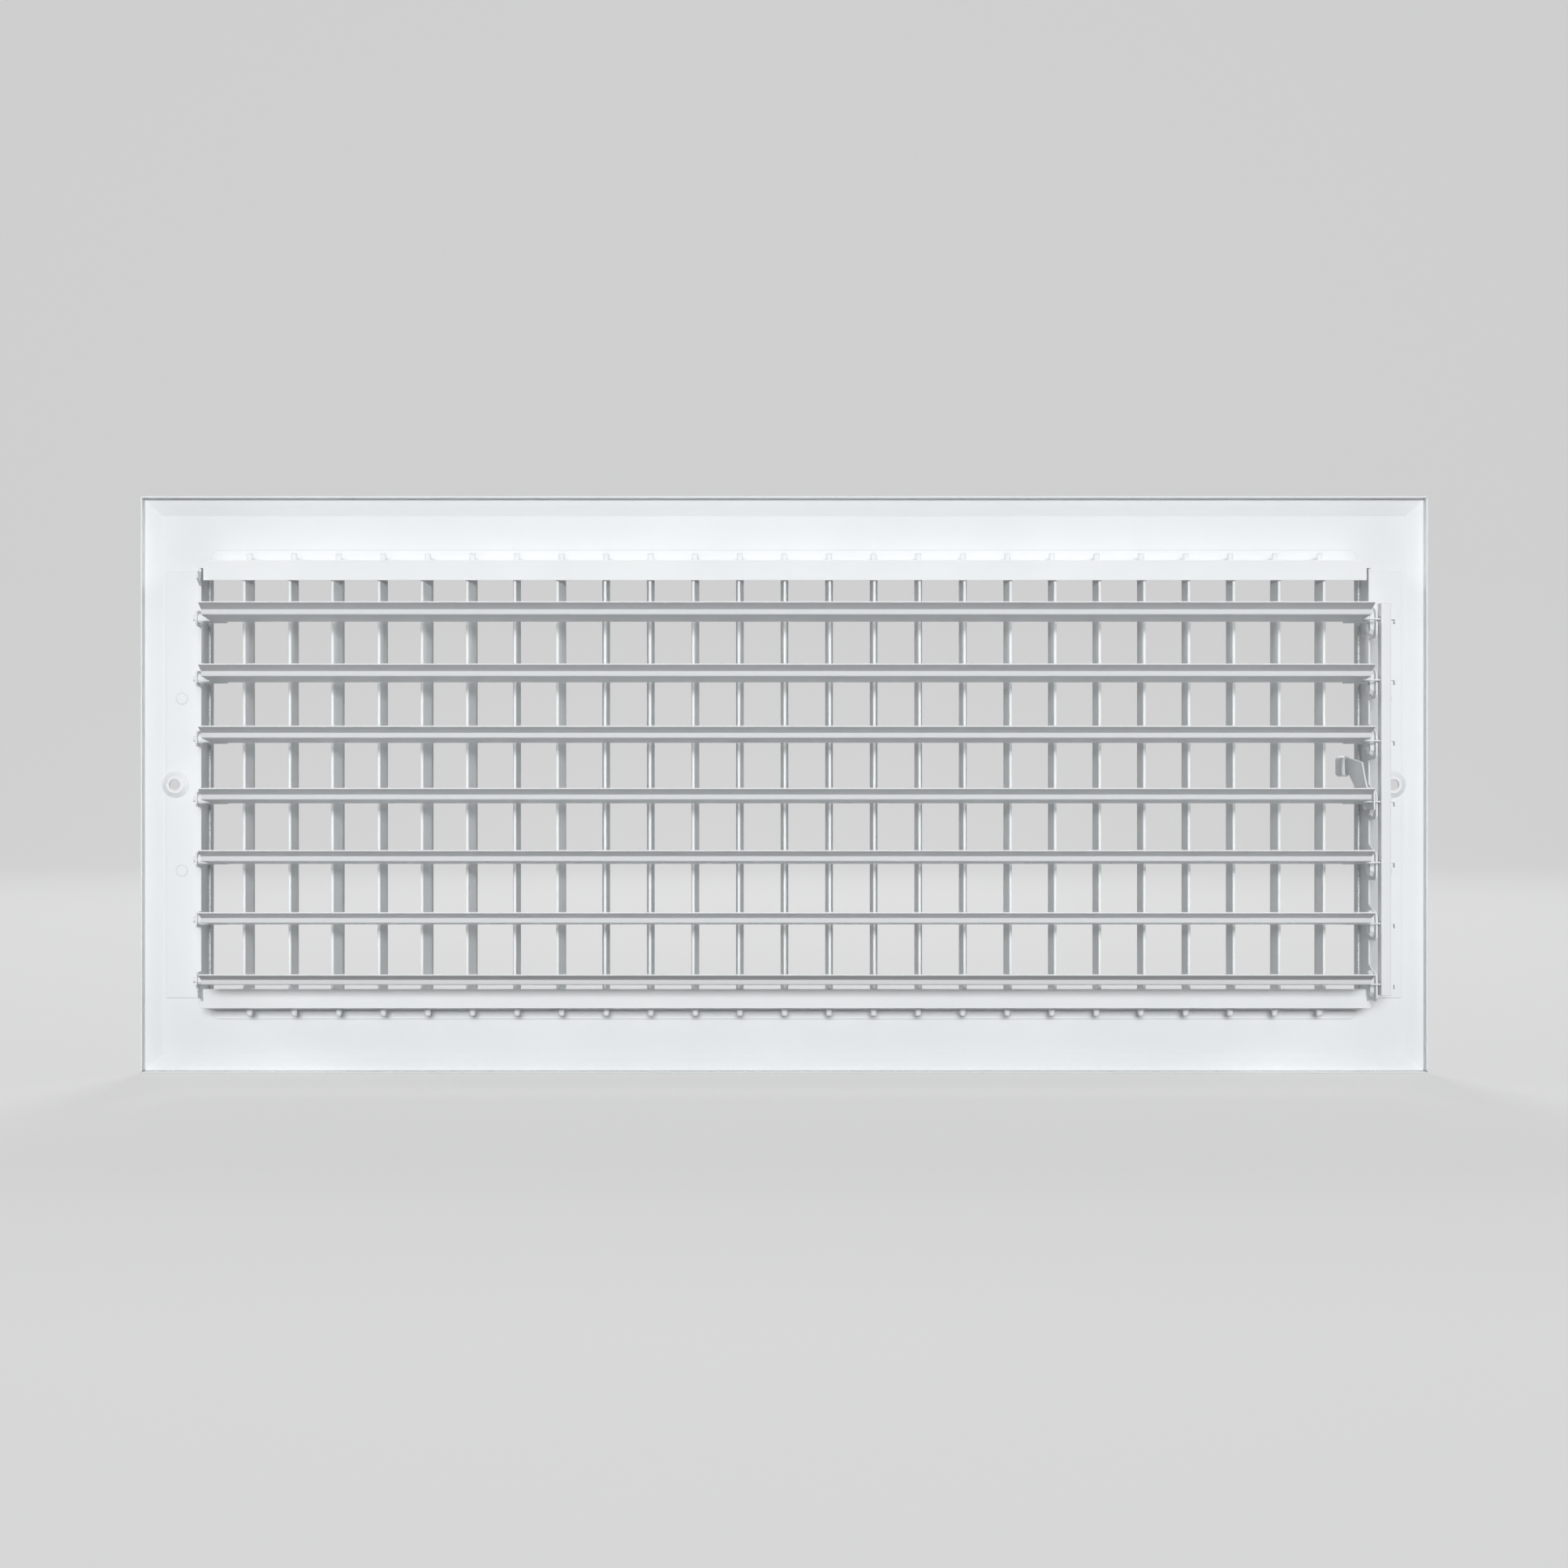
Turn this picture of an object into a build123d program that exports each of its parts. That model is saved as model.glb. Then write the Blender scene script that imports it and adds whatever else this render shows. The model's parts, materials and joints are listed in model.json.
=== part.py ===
"""Adjustable supply air register: stamped face, single row of turning fins, multi-blade damper.

The register is modelled as it hangs on a wall. X runs along its width, Z is up, +Y faces the room
and the neck reaches into the duct along -Y. The origin is the centre of the opening on the wall
plane, where the rim of the face touches the wall. A depth is a distance behind that plane.
"""

import math
import os

from build123d import *

# Face plate
face_width = 552.45
face_height = 247.65
face_sheet = 0.7
lip_depth = 4.2
bevel_width = 7.5
bevel_rise = 2.2
lip_slit = 0.5
face_border_side = 29.825
face_border_top = 29.625
collar_depth = 5.3
collar_corner_gap = 2.2

# Countersunk screw dimples, pressed through the face and the side plates together
screw_edge = 13.725
screw_hole_radius = 2.4
dimple_mouth_radius = 5.4
dimple_floor_radius = 3.3
dimple_height = 2.0
dimple_lead = 0.3
nest_gap = 0.06

# Side plates
frame_sheet = 0.7
flange_edge = 9.725
flange_end_gap = 2.2
plate_end_gap = 1.2
plate_depth = 13.5
ear_depth = 20.0
ear_height = 3.0
ear_slant = 2.9
lug_rim = 0.9
lug_corner = 1.4
hump_depth = 25.0
hump_above = 2.7
hump_slant = 3.4
hump_below = 8.5
hump_corner = 1.3
boss_width = 8.0
boss_height = 11.4
boss_corner = 2.3
boss_drop = 1.6
boss_depth = 1.4
boss_taper = 35.0
clinch_radius = 2.35
clinch_sides = 10
clinch_proud = 0.2
clinch_spacing = 74.2
clinch_inset = 6.7

# Fin rails
fin_rail_flange = 6.2
fin_rail_depth = 9.0
fin_rail_corner = 3.5
fin_rail_end_gap = 2.0

# Turning fins
fin_count = 25
fin_margin = 17.8
fin_pivot_depth = 4.0
fin_tail = 8.4
fin_nose = 6.2
fin_tail_thickness = 1.05
fin_thickness = 3.3
fin_nose_radius = 0.8
fin_nose_sides = 8
fin_pin_sides = 6
fin_end_gap = 1.6
fin_pin_radius = 1.15
fin_pin_clearance = 0.2
fin_pin_proud = 3.2
# Angle at which each fin was left, front edge towards +X, counted from the -X end
fin_rest_angles = [4, 2, 9, 4, 10, 9, 1, 8, 0, 0, 5, 3, 0, 0, 1, 0, 0, -3, -2, -1, 0, 1, 1, 0, 0]

# Damper rails
damper_rail_height = 8.1
damper_rail_wall = 3.0
damper_rail_drop = 0.3
damper_rail_end_gap = 1.0
damper_tab_height = 3.0

# Damper blades, each a jogged strip on two rolled barrels
blade_count = 7
blade_top_margin = 24.1
blade_bottom_margin = 11.9
blade_pivot_depth = 18.0
blade_rest_tilt = 5.0
blade_sheet = 0.5
blade_end_gap = 6.3
blade_front = 2.0
blade_overlap = 5.1
blade_rear_leaf = 6.9
blade_jog_run = 1.0
blade_jog_rise = 2.05
blade_rear_bend = 14.0
blade_bend_radius = 0.6
blade_rear_corner = 1.6
barrel_radius = 2.1
barrel_sides = 8
barrel_clearance = 0.25
barrel_neck = 0.7
barrel_tab = 6.0
barrel_tab_end_gap = 2.6
barrel_proud = 1.5
barrel_tip_radius = 1.2
barrel_recess = 0.1
drive_radius = 9.1
drive_tab_width = 1.8
drive_tab_proud = 2.1
drive_hook_drop = 1.7

# Link bar, a folded channel that joins the drive tabs
link_width = 4.2
link_sheet = 0.7
link_wall_gap = 0.3
link_hole_clearance = 0.2
link_hole_sides = 8
link_leg_edge = 2.1
link_web_gap = 0.12
link_bend = 0.5
link_top_overhang = 6.6
link_bottom_overhang = 4.6

# Damper lever, measured from the middle blade's pivot, and its plastic knob
lever_sheet = 0.7
lever_leg_gap = 0.8
lever_foot_gap = 0.3
lever_shelf_height = 4.6
lever_foot_drop = 4.4
lever_foot_front = 3.4
lever_foot_rear = 12.2
lever_bend_radius = 1.1
lever_grip_clearance = 0.05
lever_heel = 4.5
lever_heel_top = 15.6
lever_arm_height = 7.0
lever_arm_centre = 14.0
lever_arm_start = 15.0
knob_reach = 34.0
knob_length = 13.0
knob_height = 8.8
knob_thickness = 3.4
knob_end_wall = 2.0
knob_corner = 1.0
knob_nose = 0.9

# Planes and places that follow from the sizes above
panel_back = lip_depth + bevel_rise
panel_front = panel_back + face_sheet
opening_width = face_width - 2 * face_border_side
opening_height = face_height - 2 * face_border_top
screw_spacing = face_width - 2 * screw_edge
wall_inner = opening_width / 2 + face_sheet
wall_outer = wall_inner + frame_sheet
plate_flange = face_width / 2 - flange_edge - wall_inner
plate_flange_height = opening_height - 2 * flange_end_gap
plate_wall_height = opening_height - 2 * plate_end_gap
fin_rail_inner = opening_height / 2 + face_sheet
fin_half_length = fin_rail_inner - fin_end_gap
fin_pitch = (opening_width - 2 * fin_margin) / (fin_count - 1)
damper_rail_outer = fin_rail_inner - damper_rail_drop
blade_pitch = (opening_height - blade_top_margin - blade_bottom_margin) / (blade_count - 1)
pivot_heights = [opening_height / 2 - blade_top_margin - k * blade_pitch for k in range(blade_count)]
middle_blade = blade_count // 2
blade_rear = blade_pitch + blade_overlap
blade_jog_start = blade_rear - blade_rear_leaf - blade_jog_run
blade_end = wall_inner - blade_end_gap
barrel_hole_radius = barrel_radius + barrel_clearance
leaf_middle = blade_sheet / 2 - barrel_radius
tilt = math.radians(blade_rest_tilt)
drive_depth = blade_pivot_depth + drive_radius * math.cos(tilt) - leaf_middle * math.sin(tilt)
drive_lift = drive_radius * math.sin(tilt) + leaf_middle * math.cos(tilt)
link_hole_radius = math.hypot(drive_tab_width, blade_sheet) / 2 + link_hole_clearance
link_inner = wall_outer + link_wall_gap
link_outer = link_inner + link_width
drive_tab_end = link_outer + drive_tab_proud
lever_leg = blade_end + lever_leg_gap + lever_sheet / 2
lever_foot = wall_inner - boss_depth - lever_foot_gap - lever_sheet / 2

os.makedirs("parts", exist_ok=True)


def behind(depth):
    """Plane parallel to the wall at a depth behind it, seen from the duct."""
    return Plane.XZ.offset(depth)


def across(x):
    """Plane square to the width at x, whose axes are depth and height, facing -X."""
    return Plane(origin=(x, 0, 0), x_dir=(0, -1, 0), z_dir=(-1, 0, 0))


def blade_plane(number, x=0):
    """Plane of a blade's section at x: its axes run from the pivot to the rear and upwards."""
    return Plane(
        origin=(x, -blade_pivot_depth, pivot_heights[number]),
        x_dir=(0, -math.cos(tilt), math.sin(tilt)),
        z_dir=(-1, 0, 0),
    )


def blade_plan(number):
    """Plane of a blade's flat pattern: its axes run along the width and from the pivot to the rear."""
    return Plane(
        origin=(0, -blade_pivot_depth, pivot_heights[number]),
        x_dir=(1, 0, 0),
        z_dir=(0, -math.sin(tilt), -math.cos(tilt)),
    )


def save(part, label):
    """Name a finished piece and write it."""
    part.label = label
    export_step(part, f"parts/{label}.step")


def screw_dimple(x, front, sheet, mouth, floor):
    """Section of the cupped wall round a screw hole at x, pressed rearwards out of a sheet."""
    back = front - sheet
    with BuildSketch(Plane(origin=(x, 0, 0))) as section:
        Polygon(
            (screw_hole_radius, front - dimple_height),
            (floor, front - dimple_height),
            (mouth, front),
            (mouth + dimple_lead, back),
            (floor + dimple_lead, back - dimple_height),
            (screw_hole_radius, back - dimple_height),
            align=None,
        )
    return section.sketch


def upright(x):
    """Axis of a hole at x, square to the wall."""
    return Axis((x, 0, 0), (0, 1, 0))


# Face plate: lip, bevelled border, flat panel and an opening with turned-in collars
inner_width, inner_height = face_width - 2 * face_sheet, face_height - 2 * face_sheet
cup_mouth, cup_floor = dimple_mouth_radius - dimple_lead, dimple_floor_radius - dimple_lead
with BuildPart() as face_plate:
    with BuildSketch(behind(0)):
        Rectangle(face_width, face_height)
    extrude(amount=-lip_depth)
    with BuildSketch(behind(-lip_depth)):
        Rectangle(face_width, face_height)
    with BuildSketch(behind(-panel_front)):
        Rectangle(face_width - 2 * bevel_width, face_height - 2 * bevel_width)
    loft()
    with BuildSketch(behind(0)):
        Rectangle(inner_width, inner_height)
    extrude(amount=face_sheet / 2 - lip_depth, mode=Mode.SUBTRACT)
    with BuildSketch(behind(face_sheet / 2 - lip_depth)):
        Rectangle(inner_width, inner_height)
    with BuildSketch(behind(-panel_back)):
        Rectangle(inner_width + face_sheet - 2 * bevel_width, inner_height + face_sheet - 2 * bevel_width)
    loft(mode=Mode.SUBTRACT)
    with BuildSketch(behind(-panel_front)):
        Rectangle(opening_width, opening_height)
        with GridLocations(screw_spacing, 0, 2, 1):
            Circle(cup_mouth)
    extrude(amount=face_sheet, mode=Mode.SUBTRACT)
    with BuildSketch(behind(-panel_front)):
        with GridLocations(opening_width + face_sheet, 0, 2, 1):
            Rectangle(face_sheet, opening_height - 2 * collar_corner_gap)
        with GridLocations(0, opening_height + face_sheet, 1, 2):
            Rectangle(opening_width - 2 * collar_corner_gap, face_sheet)
    extrude(amount=face_sheet + collar_depth)
    for screw in (-screw_spacing / 2, screw_spacing / 2):
        revolve(screw_dimple(screw, panel_front, face_sheet, cup_mouth, cup_floor), axis=upright(screw))
    with BuildSketch(behind(0)):
        for turn in (45, -45):
            with Locations(
                (face_width / 2, math.copysign(face_height / 2, turn)),
                (-face_width / 2, math.copysign(face_height / 2, -turn)),
            ):
                Rectangle(4 * face_sheet, lip_slit, rotation=turn)
    extrude(amount=-lip_depth, mode=Mode.SUBTRACT)
save(face_plate.part, "face_plate")


def side_plate(side, label):
    """Fold a side plate: a flange on the back of the face and a wall that carries the blade pivots.

    The +X plate has a hump with a pressed boss at each pivot, so that the drive tabs can swing past
    it. The -X plate has a small lug at each pivot and an ear at each end.
    """
    outer_x, inner_x = side * wall_outer, side * wall_inner
    near_x, far_x = max(outer_x, inner_x), side * (wall_inner + plate_flange)
    screw = side * screw_spacing / 2
    half = plate_wall_height / 2
    lug_depth = blade_pivot_depth + barrel_hole_radius + lug_rim
    with BuildPart() as plate:
        with BuildSketch(across(near_x)) as wall:
            with Locations(((plate_depth - panel_back) / 2, 0)):
                Rectangle(plate_depth + panel_back, plate_wall_height)
            for z in pivot_heights:
                if side > 0:
                    Polygon(
                        (0, z + hump_above + hump_slant),
                        (plate_depth, z + hump_above + hump_slant),
                        (hump_depth, z + hump_above),
                        (hump_depth, z - hump_below),
                        (0, z - hump_below),
                        align=None,
                    )
                else:
                    with Locations((lug_depth / 2, z)):
                        Rectangle(lug_depth, 2 * (barrel_hole_radius + lug_rim))
            chamfer(wall.vertices().group_by(Axis.X)[-1], hump_corner if side > 0 else lug_corner)
            if side < 0:
                for end in (-1, 1):
                    ear_top = end * (half - damper_tab_height)
                    Polygon(
                        (0, ear_top),
                        (ear_depth, ear_top),
                        (ear_depth, ear_top - end * ear_height),
                        (plate_depth, ear_top - end * (ear_height + ear_slant)),
                        (0, ear_top - end * (ear_height + ear_slant)),
                        align=None,
                    )
        extrude(amount=frame_sheet)
        with BuildSketch(behind(frame_sheet - panel_back)):
            with Locations(((inner_x + far_x) / 2, 0)):
                Rectangle(plate_flange, plate_flange_height)
            with Locations((screw, 0)):
                Circle(dimple_mouth_radius + nest_gap, mode=Mode.SUBTRACT)
        extrude(amount=-frame_sheet)
        revolve(
            screw_dimple(
                screw,
                panel_back,
                frame_sheet,
                dimple_mouth_radius + nest_gap,
                dimple_floor_radius + nest_gap,
            ),
            axis=upright(screw),
        )
        with BuildSketch(behind(frame_sheet - panel_back)):
            with Locations((far_x - side * clinch_inset, 0)):
                with GridLocations(0, clinch_spacing, 1, 2):
                    RegularPolygon(clinch_radius, clinch_sides)
        extrude(amount=clinch_proud)
        pivots = [(blade_pivot_depth, z) for z in pivot_heights]
        if side > 0:
            for face_x, mode in ((wall_inner, Mode.ADD), (wall_outer, Mode.SUBTRACT)):
                with BuildSketch(across(face_x)) as bosses:
                    with Locations(*[(d, z - boss_drop) for d, z in pivots]):
                        Rectangle(boss_width, boss_height)
                    chamfer(bosses.vertices(), boss_corner)
                extrude(amount=boss_depth, taper=boss_taper, mode=mode)
        with BuildSketch(across(near_x)):
            with Locations(*pivots):
                if side > 0:
                    RegularPolygon(barrel_hole_radius, barrel_sides, major_radius=False)
                else:
                    Circle(barrel_hole_radius)
        extrude(amount=frame_sheet + boss_depth, mode=Mode.SUBTRACT)
    save(plate.part, label)


side_plate(-1, "left_side_plate")
side_plate(1, "right_side_plate")


def fin_place(number):
    """Distance of a fin's pivot from the middle, along X."""
    return (number - (fin_count - 1) / 2) * fin_pitch


def fin_rail(side, label):
    """Fold a fin rail: a flange on the back of the face and a wall pierced for the fin pins."""
    with BuildPart() as rail:
        with BuildSketch(behind(frame_sheet - panel_back)) as flange:
            with Locations((0, side * (fin_rail_inner + fin_rail_flange / 2))):
                Rectangle(2 * wall_inner, fin_rail_flange)
            outer_corners = flange.vertices().group_by(Axis.Y)[-1 if side > 0 else 0]
            fillet(outer_corners, fin_rail_corner)
        extrude(amount=-frame_sheet)
        low = min(side * fin_rail_inner, side * (fin_rail_inner + frame_sheet))
        with BuildSketch(Plane.XY.offset(low)):
            with Locations((0, (panel_back - fin_rail_depth) / 2)):
                Rectangle(2 * (wall_inner - fin_rail_end_gap), panel_back + fin_rail_depth)
            with Locations(*[(fin_place(n), -fin_pivot_depth) for n in range(fin_count)]):
                RegularPolygon(
                    fin_pin_radius + fin_pin_clearance,
                    fin_pin_sides,
                    major_radius=False,
                    mode=Mode.SUBTRACT,
                )
        extrude(amount=frame_sheet)
    save(rail.part, label)


fin_rail(1, "top_fin_rail")
fin_rail(-1, "bottom_fin_rail")


def turning_fin(number):
    """Extrude one teardrop fin at its rest angle, with a pin at each end."""
    pivot = Plane(origin=(fin_place(number), -fin_pivot_depth, 0))
    turned = pivot.rotated((0, 0, -fin_rest_angles[number]))
    with BuildPart() as fin:
        with BuildSketch(turned.offset(-fin_half_length)):
            Circle(fin_thickness / 2)
            with Locations((0, fin_nose - fin_nose_radius)):
                RegularPolygon(fin_nose_radius, fin_nose_sides)
            with Locations((0, fin_tail_thickness / 2 - fin_tail)):
                Rectangle(fin_tail_thickness, fin_tail_thickness)
            make_hull()
        extrude(amount=2 * fin_half_length)
        pin_half_length = fin_rail_inner + frame_sheet + fin_pin_proud
        with BuildSketch(pivot.offset(-pin_half_length)):
            RegularPolygon(fin_pin_radius, fin_pin_sides)
        extrude(amount=2 * pin_half_length)
    save(fin.part, f"fin_{number + 1:02d}")


for fin_number in range(fin_count):
    turning_fin(fin_number)


def damper_rail(side, label):
    """Fold a damper rail: a stop facing the duct whose end tabs lie on the side plates' edges."""
    length = 2 * (wall_inner - damper_rail_end_gap)
    low = min(side * damper_rail_outer, side * (damper_rail_outer - frame_sheet))
    with BuildPart() as rail:
        with BuildSketch(behind(plate_depth)):
            with Locations((0, side * (damper_rail_outer - damper_rail_height / 2))):
                Rectangle(length, damper_rail_height)
            with Locations((0, side * (damper_rail_outer - damper_tab_height / 2))):
                Rectangle(2 * wall_outer, damper_tab_height)
        extrude(amount=frame_sheet)
        with BuildSketch(Plane.XY.offset(low)):
            with Locations((0, -plate_depth + damper_rail_wall / 2)):
                Rectangle(length, damper_rail_wall)
        extrude(amount=frame_sheet)
    save(rail.part, label)


damper_rail(1, "top_damper_rail")
damper_rail(-1, "bottom_damper_rail")


def damper_blade(number):
    """Bend one damper blade: a front leaf, a jog, a rear leaf, barrels and a hooked drive tab."""
    rear_run = blade_rear - blade_jog_start - blade_jog_run
    rear_height = leaf_middle + blade_jog_rise + rear_run * math.tan(math.radians(blade_rear_bend))
    tab_end = wall_inner - barrel_tab_end_gap
    with BuildPart() as blade:
        with BuildSketch(blade_plane(number, drive_tab_end)):
            with BuildLine():
                FilletPolyline(
                    (0, leaf_middle),
                    (blade_jog_start, leaf_middle),
                    (blade_jog_start + blade_jog_run, leaf_middle + blade_jog_rise),
                    (blade_rear, rear_height),
                    radius=blade_bend_radius,
                )
            trace(line_width=blade_sheet)
        extrude(amount=drive_tab_end + tab_end)
        with BuildSketch(blade_plan(number)):
            Polygon(
                (-blade_end, blade_front),
                (blade_end, blade_front),
                (blade_end, blade_jog_start),
                (blade_end - blade_rear_corner, 2 * blade_rear),
                (blade_rear_corner - blade_end, 2 * blade_rear),
                (-blade_end, blade_jog_start),
                align=None,
            )
            with Locations((0, barrel_tab / 2)):
                Rectangle(2 * tab_end, barrel_tab)
            with Locations((0, blade_front)):
                Rectangle(2 * (blade_end - barrel_tab), 2 * blade_front, mode=Mode.SUBTRACT)
            with Locations((drive_tab_end / 2, drive_radius)):
                Rectangle(drive_tab_end, drive_tab_width)
        extrude(amount=blade_rear, both=True, mode=Mode.INTERSECT)
        barrel_length = wall_outer - barrel_recess - blade_end - barrel_neck
        with BuildSketch(blade_plane(number, wall_outer - barrel_recess)):
            RegularPolygon(barrel_radius, barrel_sides)
            RegularPolygon(barrel_radius - blade_sheet, barrel_sides, mode=Mode.SUBTRACT)
        extrude(amount=barrel_length)
        with BuildSketch(blade_plane(number, -blade_end - barrel_neck)):
            RegularPolygon(barrel_radius, barrel_sides)
        extrude(amount=barrel_length)
        with BuildSketch(blade_plane(number, barrel_recess - wall_outer)):
            RegularPolygon(barrel_tip_radius, barrel_sides)
        extrude(amount=barrel_recess + barrel_proud)
        with BuildSketch(blade_plane(number, drive_tab_end)):
            with Locations((drive_radius, leaf_middle - drive_hook_drop / 2)):
                Rectangle(drive_tab_width, blade_sheet + drive_hook_drop)
        extrude(amount=blade_sheet)
    save(blade.part, f"blade_{number + 1}")


for blade_number in range(blade_count):
    damper_blade(blade_number)

# Link bar: a channel whose legs are pierced for the drive tabs
link_front = drive_depth - link_hole_radius - link_leg_edge
link_web = drive_depth + link_hole_radius + link_web_gap
link_low = pivot_heights[-1] + drive_lift - link_bottom_overhang
link_high = pivot_heights[0] + drive_lift + link_top_overhang
with BuildPart() as link_bar:
    with BuildSketch(Plane.XY.offset(link_low)):
        with Locations(((link_inner + link_outer) / 2, -(link_front + link_web + link_sheet) / 2)):
            Rectangle(link_width, link_web + link_sheet - link_front)
        with Locations(((link_inner + link_outer) / 2, -(link_front + link_web) / 2)):
            Rectangle(link_width - 2 * link_sheet, link_web - link_front, mode=Mode.SUBTRACT)
    extrude(amount=link_high - link_low)
    fillet(link_bar.edges().filter_by(Axis.Z).group_by(Axis.Y)[0], link_bend)
    with BuildSketch(across(link_outer)):
        with Locations(*[(drive_depth, z + drive_lift) for z in pivot_heights]):
            RegularPolygon(link_hole_radius, link_hole_sides, major_radius=False)
    extrude(amount=link_width, mode=Mode.SUBTRACT)
save(link_bar.part, "link_bar")

# Damper lever: an S-bent strip hooked on the middle blade's barrel and drive tab
lever_pivot = pivot_heights[middle_blade]
arm_low, arm_high = lever_arm_centre - lever_arm_height / 2, lever_arm_centre + lever_arm_height / 2
arm_tip = knob_reach - knob_end_wall
lever_outline = [
    (lever_heel, lever_heel_top),
    (-lever_arm_start, arm_high),
    (-arm_tip, arm_high),
    (-arm_tip, arm_low),
    (-lever_arm_start, arm_low),
    (-lever_foot_front, lever_shelf_height - lever_bend_radius),
    (-lever_foot_front, -lever_foot_drop),
    (lever_foot_rear, -lever_foot_drop),
    (lever_foot_rear, lever_shelf_height),
]
with BuildPart() as damper_lever:
    with BuildSketch(behind(blade_pivot_depth - arm_tip)):
        with BuildLine():
            FilletPolyline(
                (lever_leg, lever_pivot + arm_high),
                (lever_leg, lever_pivot + lever_shelf_height),
                (lever_foot, lever_pivot + lever_shelf_height),
                (lever_foot, lever_pivot - lever_foot_drop),
                radius=lever_bend_radius,
            )
        trace(line_width=lever_sheet)
    extrude(amount=arm_tip + lever_foot_rear)
    with BuildSketch(across(wall_inner)):
        Polygon(*[(blade_pivot_depth + d, lever_pivot + h) for d, h in lever_outline], align=None)
    extrude(amount=2 * (wall_inner - lever_leg), mode=Mode.INTERSECT)
    with BuildSketch(blade_plane(middle_blade, wall_inner)):
        Circle(barrel_radius + lever_grip_clearance)
        with Locations((drive_radius, leaf_middle)):
            Rectangle(drive_tab_width + 2 * lever_grip_clearance, blade_sheet + 2 * lever_grip_clearance)
    extrude(amount=wall_inner - lever_foot + lever_sheet, mode=Mode.SUBTRACT)
save(damper_lever.part, "damper_lever")

# Knob: a plastic sleeve pushed over the lever's front end
with BuildPart() as lever_knob:
    with BuildSketch(behind(blade_pivot_depth - knob_reach)) as sleeve:
        with Locations((lever_leg, lever_pivot + lever_arm_centre)):
            Rectangle(knob_thickness, knob_height)
        chamfer(sleeve.vertices(), knob_corner)
    extrude(amount=knob_length)
    chamfer(lever_knob.faces().sort_by(Axis.Y)[-1].edges(), knob_nose)
    with BuildSketch(behind(blade_pivot_depth - arm_tip)):
        with Locations((lever_leg, lever_pivot + lever_arm_centre)):
            Rectangle(lever_sheet, lever_arm_height)
    extrude(amount=knob_length, mode=Mode.SUBTRACT)
save(lever_knob.part, "lever_knob")
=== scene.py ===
"""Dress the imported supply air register: finishes, rounded small pieces, studio and camera.

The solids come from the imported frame, in metres: X along the width, Z up, the duct side faces -Y.
"""

import json
import logging
import math
from dataclasses import dataclass, field, replace
from enum import Enum
from typing import Iterable, Optional, Sequence

import bpy
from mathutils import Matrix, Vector


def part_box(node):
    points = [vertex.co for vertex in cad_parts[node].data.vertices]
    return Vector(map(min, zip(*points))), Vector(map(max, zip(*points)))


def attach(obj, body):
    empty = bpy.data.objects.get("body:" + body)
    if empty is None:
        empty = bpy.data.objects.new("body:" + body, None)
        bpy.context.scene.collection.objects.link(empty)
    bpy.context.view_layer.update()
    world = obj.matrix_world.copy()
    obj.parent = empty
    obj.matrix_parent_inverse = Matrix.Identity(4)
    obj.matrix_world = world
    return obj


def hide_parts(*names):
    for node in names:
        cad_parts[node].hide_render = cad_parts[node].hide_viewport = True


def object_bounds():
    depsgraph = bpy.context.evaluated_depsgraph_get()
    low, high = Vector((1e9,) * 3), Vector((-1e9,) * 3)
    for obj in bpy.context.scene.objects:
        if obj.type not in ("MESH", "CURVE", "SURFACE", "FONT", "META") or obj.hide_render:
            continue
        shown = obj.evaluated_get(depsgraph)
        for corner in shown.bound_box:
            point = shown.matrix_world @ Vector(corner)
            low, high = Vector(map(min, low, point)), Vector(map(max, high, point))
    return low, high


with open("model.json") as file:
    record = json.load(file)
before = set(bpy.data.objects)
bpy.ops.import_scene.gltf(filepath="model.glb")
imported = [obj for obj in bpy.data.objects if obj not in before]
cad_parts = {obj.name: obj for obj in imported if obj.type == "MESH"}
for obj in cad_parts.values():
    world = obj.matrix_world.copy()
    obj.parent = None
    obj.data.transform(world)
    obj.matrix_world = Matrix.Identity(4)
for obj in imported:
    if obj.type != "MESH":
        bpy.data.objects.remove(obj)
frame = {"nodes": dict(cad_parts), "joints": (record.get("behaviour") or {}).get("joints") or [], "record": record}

CAD_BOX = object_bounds()
LOG = logging.getLogger("register")
MM = 0.001
RIGHT_ANGLE = math.pi / 2
FACING_COSINE = 0.95
PHOTO_PIXELS = 1932
NODE_STEP = (190, 160)
NODE_ROWS = 4
WHITE = (1.0, 1.0, 1.0)

Colour = tuple[float, float, float]
Triple = tuple[float, float, float]
Span = tuple[float, float]


class Slot(str, Enum):
    """Material slots of the record."""

    FACE = "face_enamel"
    FRAME = "frame_enamel"
    FIN = "fin_enamel"
    BLADE = "blade_enamel"
    LINKAGE = "linkage_enamel"
    KNOB = "knob_plastic"


class Body(str, Enum):
    """Bodies that new pieces ride on, apart from the numbered fins and blades."""

    FRAME = "frame"
    LEVER_BLADE = "blade_4"


class End(Enum):
    """The two ends of a piece along its own axis."""

    LOW = -1
    HIGH = 1


def only(piece: bpy.types.Object) -> None:
    """Select one object alone and make it active.

    Args:
        piece: The object to select.
    """
    bpy.ops.object.select_all(action="DESELECT")
    piece.select_set(True)
    bpy.context.view_layer.objects.active = piece


def settle(piece: bpy.types.Object) -> None:
    """Put an object's place, turn and size into its mesh.

    Args:
        piece: The object to settle at the origin.
    """
    only(piece)
    bpy.ops.object.transform_apply(location=True, rotation=True, scale=True)


def finish_with(piece: bpy.types.Object, kind: str, **settings: object) -> None:
    """Add one modifier and apply it.

    Args:
        piece: The object to change.
        kind: Modifier type, such as BEVEL.
        **settings: Attributes of the modifier.
    """
    only(piece)
    modifier = piece.modifiers.new(kind.lower(), kind)
    for name, value in settings.items():
        setattr(modifier, name, value)
    bpy.ops.object.modifier_apply(modifier=modifier.name)


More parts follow.
